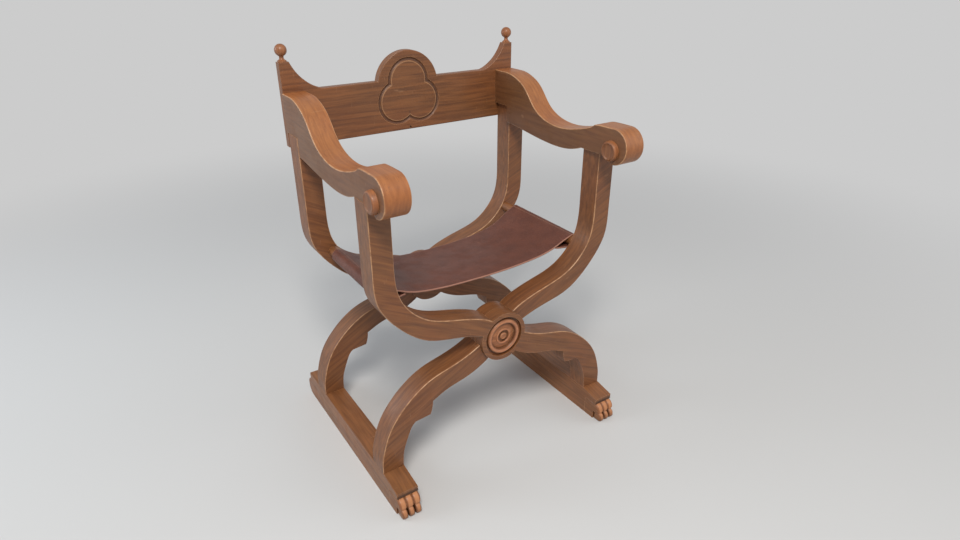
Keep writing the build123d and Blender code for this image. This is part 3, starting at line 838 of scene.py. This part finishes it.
@dataclass
class Sling:
    """Leather seat between the two rails, with a sewn sleeve round each."""

    rail_x: float = 0.266
    rail_z: float = 0.497
    rail_reach: float = 0.0153
    front: float = -0.142
    rear: float = 0.108
    thickness: float = 0.004
    front_sag: float = 0.042
    rear_sag: float = 0.065
    # Points between the middle and a rail: x, and the share of the sag regained there.
    hang: tuple[Pair, ...] = (
        (0.060, 0.02), (0.120, 0.10), (0.170, 0.24), (0.205, 0.44), (0.235, 0.74))
    sewn_share: float = 0.5
    sewn_gap: float = 1.05
    lap_x: float = 0.248
    lap_share: float = 0.12
    sleeve_x: float = 0.214
    spacing: float = 0.006
    ripple: float = 0.0005
    ripple_scale: Pair = (22.0, 9.0)
    calm_reach: Pair = (0.012, 0.05)

    def side_profile(self, sag: float) -> list[Pair]:
        """Middle line of the leather from the chair's middle to the end of the right sleeve.

        Args:
            sag: fall of the middle below the leather over the rails.

        Returns:
            Points (x, z).
        """
        low, reach = self.rail_z - self.rail_reach, self.rail_reach
        middle = self.rail_z + reach - sag
        points = [(0.0, middle)]
        points += [(x, middle + share * sag) for x, share in self.hang]
        for angle in range(90, -91, -30):
            turn = math.radians(angle)
            points.append((self.rail_x + reach * math.cos(turn),
                           self.rail_z + reach * math.sin(turn)))
        sewn = middle + self.sewn_share * sag - self.sewn_gap * self.thickness
        return [*points, (self.lap_x, low + self.lap_share * (sewn - low)), (self.sleeve_x, sewn)]

    def build(self, material: Material) -> bpy.types.Object:
        """Make the sling in place of its node.

        Args:
            material: the leather.

        Returns:
            The sling.
        """
        lines = [smooth_line(self.side_profile(sag), self.spacing)
                 for sag in (self.front_sag, self.rear_sag)]
        count = max(len(line) for line in lines)
        wanted = np.linspace(0, 1, count)
        even = [np.stack([np.interp(wanted, np.linspace(0, 1, len(line)), column)
                          for column in line.T], axis=1) for line in lines]
        depth = self.rear - self.front
        across = round(depth / self.spacing)
        vertices: list[Triple] = []
        for row in range(across + 1):
            share = row / across
            y = self.front + share * depth
            ease = share * share * (3 - 2 * share)
            line = even[0] * (1 - ease) + even[1] * ease
            full = np.vstack([line[::-1] * (-1, 1), line[1:]])
            for x, z in full:
                clear = (self.rail_x - self.calm_reach[0] - abs(x)) / self.calm_reach[1]
                place = Vector((x * self.ripple_scale[0], y * self.ripple_scale[1], 0.7))
                lift = self.ripple * min(1.0, max(0.0, clear)) * noise.noise(place)
                vertices.append((x, y, z + lift))
        width = 2 * count - 1
        faces = [(r * width + c, r * width + c + 1, (r + 1) * width + c + 1, (r + 1) * width + c)
                 for r in range(across) for c in range(width - 1)]
        piece = new_piece("leather_sling", vertices, faces, material)
        arc = np.concatenate([[0.0], np.cumsum(np.linalg.norm(np.diff(even[0], axis=0), axis=1))])
        reach = np.concatenate([-arc[::-1], arc[1:]])
        laid = piece.data.uv_layers.new(name="laid_flat")
        for loop in piece.data.loops:
            row, column = divmod(loop.vertex_index, width)
            laid.data[loop.index].uv = (row / across * depth, reach[column])
        solid = piece.modifiers.new("leather", "SOLIDIFY")
        solid.thickness = self.thickness
        solid.offset = 0.0
        soften = piece.modifiers.new("edge", "BEVEL")
        soften.width = self.thickness * 0.42
        soften.segments = 3
        soften.limit_method = "ANGLE"
        soften.angle_limit = math.radians(60)
        apply_modifiers(piece)
        piece.data.shade_smooth()
        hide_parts("seat_sling")
        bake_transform(piece)
        return piece


@dataclass
class ScrollEyes:
    """Turned eyes on both faces of the arm scrolls: a low button with a rounded rim and a dish."""

    middle_y: float = -0.249
    middle_z: float = 0.757
    outer_face: float = 0.320
    inner_face: float = 0.265
    profile: tuple[Pair, ...] = (
        (0.0236, 0.0), (0.0228, 0.0055), (0.0220, 0.0088), (0.0202, 0.0112), (0.0178, 0.0116),
        (0.0158, 0.0107), (0.0110, 0.0099), (0.0, 0.0096),
    )
    spacing: float = 0.0009
    sides: int = 64

    def build(self, material: Material) -> None:
        """Make the four eyes, each in place of its node.

        Args:
            material: the turned wood.
        """
        rings = smooth_line(self.profile, self.spacing)
        turns = np.linspace(0, 2 * math.pi, self.sides, endpoint=False)
        after = [*range(1, self.sides), 0]
        for side, place, body in ((-1, "left", "half_a"), (1, "right", "half_b")):
            for face, start, outward in (("outer", self.outer_face, side),
                                         ("inner", self.inner_face, -side)):
                vertices = [(side * start + outward * out, self.middle_y + radius * math.cos(turn),
                             self.middle_z + radius * math.sin(turn))
                            for radius, out in rings[:-1] for turn in turns]
                vertices.append((side * start + outward * rings[-1][1], self.middle_y,
                                 self.middle_z))
                last = (len(rings) - 2) * self.sides
                faces = [(row + k, row + after[k], row + self.sides + after[k],
                          row + self.sides + k)
                         for row in range(0, last, self.sides) for k in range(self.sides)]
                faces += [(last + k, last + after[k], len(vertices) - 1)
                          for k in range(self.sides)]
                faces.append(tuple(reversed(range(self.sides))))
                if outward < 0:
                    faces = [tuple(reversed(corners)) for corners in faces]
                piece = new_piece(f"{place}_scroll_eye_{face}", vertices, faces, material)
                piece.data.polygons[len(faces) - 1].use_smooth = False
                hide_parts(f"{place}_arm_{face}_boss")
                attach(piece, body)
                log.info("%s made", piece.name)


@dataclass
class CarvedBoard:
    """The back board, its front face carved with a trefoil whose lobes run into each other."""

    # The groove across its run: distance outwards, depth.
    profile: tuple[Pair, ...] = (
        (0.0046, 0.0), (0.0040, 0.0008), (0.0030, 0.0022), (0.0015, 0.0029), (0.0, 0.0031),
        (-0.0015, 0.0029), (-0.0030, 0.0022), (-0.0040, 0.0008), (-0.0046, 0.0),
    )
    dimple_z: float = 0.763
    dimple_reach: float = 0.008
    dimple_drop: float = 0.0085
    groove_depth: float = 0.0045
    groove_reach: float = 0.012
    arc_points: int = 64
    flush: float = 1e-5
    decimals: int = 6

    def outline(self, offset: float) -> list[Pair]:
        """Outline of the three lobes, moved outwards.

        Args:
            offset: how far out.

        Returns:
            Points (x, z), once round, each lobe with the same number.
        """
        (_, top_z, top_radius), _, (side_x, side_z, side_radius) = TREFOIL
        top_radius, side_radius = top_radius + offset, side_radius + offset
        apart = math.hypot(side_x, top_z - side_z)
        along = (apart ** 2 + top_radius ** 2 - side_radius ** 2) / (2 * apart)
        aside = math.sqrt(top_radius ** 2 - along ** 2)
        down = (side_x / apart, (side_z - top_z) / apart)
        notch = (along * down[0] - aside * down[1], top_z + along * down[1] + aside * down[0])
        cusp = (0.0, side_z - math.sqrt(side_radius ** 2 - side_x ** 2))
        start = math.atan2(notch[1] - top_z, notch[0])
        points = [(top_radius * math.cos(turn), top_z + top_radius * math.sin(turn))
                  for turn in np.linspace(start, math.pi - start, self.arc_points, endpoint=False)]
        first = math.atan2(cusp[1] - side_z, cusp[0] - side_x)
        last = math.atan2(notch[1] - side_z, notch[0] - side_x)
        right = [(side_x + side_radius * math.cos(turn), side_z + side_radius * math.sin(turn))
                 for turn in np.linspace(first, last, self.arc_points + 1)]
        points += [(-x, z) for x, z in reversed(right[1:])]
        return points + right[:-1]

    def build(self, material: Material) -> None:
        """Make the board from its node's shape, with a new front face.

        Args:
            material: the board's wood.
        """
        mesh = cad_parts["back_board"].data.copy()
        face = min(vertex.co.y for vertex in mesh.vertices)
        shape = bmesh.new()
        shape.from_mesh(mesh)

        def carved(point: Vector) -> bool:
            """Whether a point lies on the front face or in the node's own groove."""
            if abs(point.y - face) < self.flush:
                return True
            out = min(math.hypot(point.x - x, point.z - z) - radius for x, z, radius in TREFOIL)
            return point.y < face + self.groove_depth and out < self.groove_reach

        def dimpled(point: Vector) -> bool:
            """Whether a point belongs to the dimple at the lower edge."""
            return (math.hypot(point.x, point.z - self.dimple_z) < self.dimple_reach
                    and point.y < face + self.groove_depth)

        dimple = {f for f in shape.faces if all(dimpled(v.co) for v in f.verts)
                  and any(v.co.y > face + self.flush for v in f.verts)}
        old = [f for f in shape.faces if f not in dimple and all(carved(v.co) for v in f.verts)]
        bmesh.ops.delete(shape, geom=old, context="FACES")
        for vertex in {v for f in dimple for v in f.verts}:
            vertex.co.z -= self.dimple_drop
        front: dict[Pair, bmesh.types.BMVert] = {}

        def key(point: Vector) -> Pair:
            """Rounded place of a point on the front."""
            return round(point.x, self.decimals), round(point.z, self.decimals)

        def corner(point: Vector) -> bmesh.types.BMVert:
            """The new front face's vertex at a point, made once."""
            if key(point) not in front:
                front[key(point)] = shape.verts.new(point)
            return front[key(point)]

        borders = [(e.verts[0].co.copy(), e.verts[1].co.copy()) for e in shape.edges
                   if e.is_boundary and all(abs(v.co.y - face) < self.flush for v in e.verts)]
        edges = {shape.edges.new((corner(a), corner(b))) for a, b in borders
                 if key(a) != key(b) and shape.edges.get((corner(a), corner(b))) is None}
        rows = [[shape.verts.new((x, face + depth, z)) for x, z in self.outline(out)]
                for out, depth in self.profile]
        for outer, inner in zip(rows, rows[1:]):
            for k, vertex in enumerate(outer):
                after = (k + 1) % len(outer)
                shape.faces.new((vertex, inner[k], inner[after], outer[after])).smooth = True
        rim = [shape.verts.new((v.co.x, face, v.co.z)) for v in rows[0]]
        edges |= {shape.edges.new((vertex, rim[(k + 1) % len(rim)]))
                  for k, vertex in enumerate(rim)}
        filled = bmesh.ops.triangle_fill(shape, use_beauty=True, use_dissolve=False,
                                         edges=list(edges))["geom"]
        covers = [f for f in filled if isinstance(f, bmesh.types.BMFace)]
        covers.append(shape.faces.new([shape.verts.new((v.co.x, face, v.co.z)) for v in rows[-1]]))
        for cover in covers:
            cover.normal_update()
            if cover.normal.y > 0:
                cover.normal_flip()
        log.info("board: front of %d faces round %d border edges", len(covers), len(borders))
        shape.to_mesh(mesh)
        shape.free()
        mesh.materials.clear()
        mesh.materials.append(material)
        piece = new_object("carved_board", mesh)
        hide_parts("back_board")
        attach(piece, "back")


@dataclass
class Timber:
    """All wooden parts, each with the grain as its plank was cut."""

    member_slope: float = -26.0

    def dress(self, effects: Effects) -> None:
        """Give each wooden node its finish, and build the pieces that stand for nodes.

        Args:
            effects: the shared node groups.
        """
        x, y, z = (axis.value for axis in Axis)
        angle = math.radians(self.member_slope)
        run, fall = math.cos(angle), math.sin(angle)
        runner = {"rim": 0.0, "light": linear(139, 91, 52), "dark": linear(106, 66, 37)}
        turned = {"rim": 0.0, "light": linear(156, 100, 59), "dark": linear(118, 71, 40)}
        for finish, names in (
            (WoodFinish("member_a_wood", (run, 0, fall), (-fall, 0, run), y),
             ["front_member_a", "rear_member_a"]),
            (WoodFinish("member_b_wood", (run, 0, -fall), (fall, 0, run), y),
             ["front_member_b", "rear_member_b"]),
            # The arms' side faces get a cool painted shade.
            (WoodFinish("arm_wood", y, z, x, side_shade_tint=(0.5, 0.56, 0.66), light=linear(161, 103, 57),
                        dark=linear(136, 83, 44)), ["left_arm", "right_arm"]),
            (RunnerFinish("runner_wood", y, z, x, **runner),
             ["left_runner", "right_runner", "left_seat_rail", "right_seat_rail"]),
            (PawFinish("paw_wood", y, z, x, **runner), ["left_paw", "right_paw"]),
            (WoodFinish("turned_wood", z, x, y, **turned), ["left_finial", "right_finial"]),
            (RosetteFinish("rosette_wood", x, z, y, rim=0.0, light=linear(168, 110, 70),
                           dark=linear(132, 81, 50)), ["front_rosette", "rear_rosette"]),
        ):
            dress(names, finish.make(effects))
        CarvedBoard().build(BoardFinish("board_wood", x, z, y, rim=0.0).make(effects))
        # The eyes' end faces get painted shade as well.
        ScrollEyes().build(
            WoodFinish("eye_wood", z, y, x, side_shade_tint=(0.74, 0.78, 0.84), **turned).make(effects))


@dataclass
class Fittings:
    """Iron bolts, washers, nuts, the board's screw and its peg."""

    finish: IronFinish = IronFinish()

    def dress(self, effects: Effects) -> None:
        """Give each iron node its finish."""
        names = [f"{place}_pivot_{part}" for place in ("front", "rear")
                 for part in ("bolt", "washer", "nut")]
        dress([*names, "board_pivot_screw", "board_rest_peg"], self.finish.make(effects))


@dataclass
class Studio:
    """Camera, plain round floor, soft lamps and even light from all round."""

    camera_place: Triple = (-0.75390, -1.24020, 1.15746)
    camera_yaw: float = -0.590194
    camera_pitch: float = -0.466697
    lens: float = 23.700
    floor_radius: float = 40.0
    floor_sides: int = 64
    near: float = 1.1
    far: float = 3.2
    floor_colour: Colour = linear(204, 204, 204)
    air_colour: Colour = (0.93, 0.96, 1.0)
    air_strength: float = 0.4
    aim: Triple = (0.0, 0.0, 0.45)

    def add_camera(self) -> None:
        """Place the camera at the viewing angle of the chair."""
        data = bpy.data.cameras.new("camera")
        data.lens = self.lens
        data.sensor_width = 36.0
        data.clip_start = 0.02
        data.clip_end = 60.0
        camera = new_object("camera", data)
        camera.location = self.camera_place
        turn = (math.pi / 2 + self.camera_pitch, 0.0, self.camera_yaw)
        camera.rotation_euler = Euler(turn, "XYZ")
        bpy.context.scene.camera = camera

    def seen(self, shades: Shades) -> object:
        """Factor that is 1 for rays to the camera, in gloss or through glass."""
        path = shades.add("LightPath").outputs
        return shades.fold("MAXIMUM", path["Is Camera Ray"], path["Is Glossy Ray"],
                           path["Is Transmission Ray"])

    def add_floor(self) -> None:
        """A round floor: it holds the chair's shadow nearby and is plainly pale further out."""
        material, shades, shader = new_material("studio_floor")
        shades.fill(shader.inputs, Base_Color=self.floor_colour, Roughness=0.85,
                    Specular_IOR_Level=0.2)
        place = shades.place()
        away = shades.calc("SQRT", shades.dot(place, place))
        share = shades.times(shades.step(away, self.near, self.far), self.seen(shades))
        plain = shades.add("Emission", Color=self.floor_colour, Strength=1.0).outputs[0]
        both = shades.add("MixShader", _0=share, _1=shader.outputs[0], _2=plain).outputs[0]
        shades.fill(shades.tree.nodes["Material Output"].inputs, Surface=both)
        turns = [2 * math.pi * k / self.floor_sides for k in range(self.floor_sides)]
        vertices = [(self.floor_radius * math.cos(turn), self.floor_radius * math.sin(turn), 0.0)
                    for turn in turns]
        new_piece("studio_floor", vertices, [range(self.floor_sides)], material)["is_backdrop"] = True

    def add_lamps(self) -> None:
        """A soft key from the front left, a fill from the right and a cool rim from behind."""
        for name, place, size, power, colour in (
            ("key_lamp", (-1.3, -2.2, 3.5), 1.0, 122.0, (1.0, 0.965, 0.91)),
            ("fill_lamp", (2.8, -1.6, 1.8), 2.4, 20.0, (1.0, 0.975, 0.94)),
            ("rim_lamp", (-2.6, 1.4, 1.5), 1.4, 30.0, (0.86, 0.94, 1.0)),
        ):
            data = bpy.data.lights.new(name, "AREA")
            data.size = size
            data.energy = power
            data.color = colour
            lamp = new_object(name, data)
            lamp.location = place
            towards = Vector(self.aim) - Vector(place)
            lamp.rotation_euler = towards.to_track_quat("-Z", "Y").to_euler()

    def add_air(self) -> None:
        """Even light from all round, behind which the background shows in the floor's colour."""
        world = bpy.data.worlds.new("studio_air")
        world.use_nodes = True
        shades = Shades(world.node_tree)
        light = world.node_tree.nodes["Background"]
        shades.fill(light.inputs, Color=self.air_colour, Strength=self.air_strength)
        plain = shades.add("Background", Color=self.floor_colour, Strength=1.0).outputs[0]
        both = shades.add("MixShader", _0=self.seen(shades), _1=light.outputs[0], _2=plain)
        shades.fill(shades.tree.nodes["World Output"].inputs, Surface=both.outputs[0])
        bpy.context.scene.world = world

    def build(self) -> None:
        """Set up everything that isn't the chair."""
        bpy.context.scene.view_settings.view_transform = "Standard"
        self.add_camera()
        self.add_floor()
        self.add_lamps()
        self.add_air()
        log.info("studio built")


def corners() -> list[list[float]]:
    """The shown model's lowest and highest corner as plain lists."""
    return [list(corner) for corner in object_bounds()]


def main() -> None:
    """Build the chair's looks in order."""
    logging.basicConfig(level=logging.INFO, format="%(name)s: %(message)s")
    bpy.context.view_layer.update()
    Studio().build()
    effects = Effects.build()
    Timber().dress(effects)
    Fittings().dress(effects)
    Sling().build(LeatherFinish().make(effects))


if __name__ == "__main__":
    main()
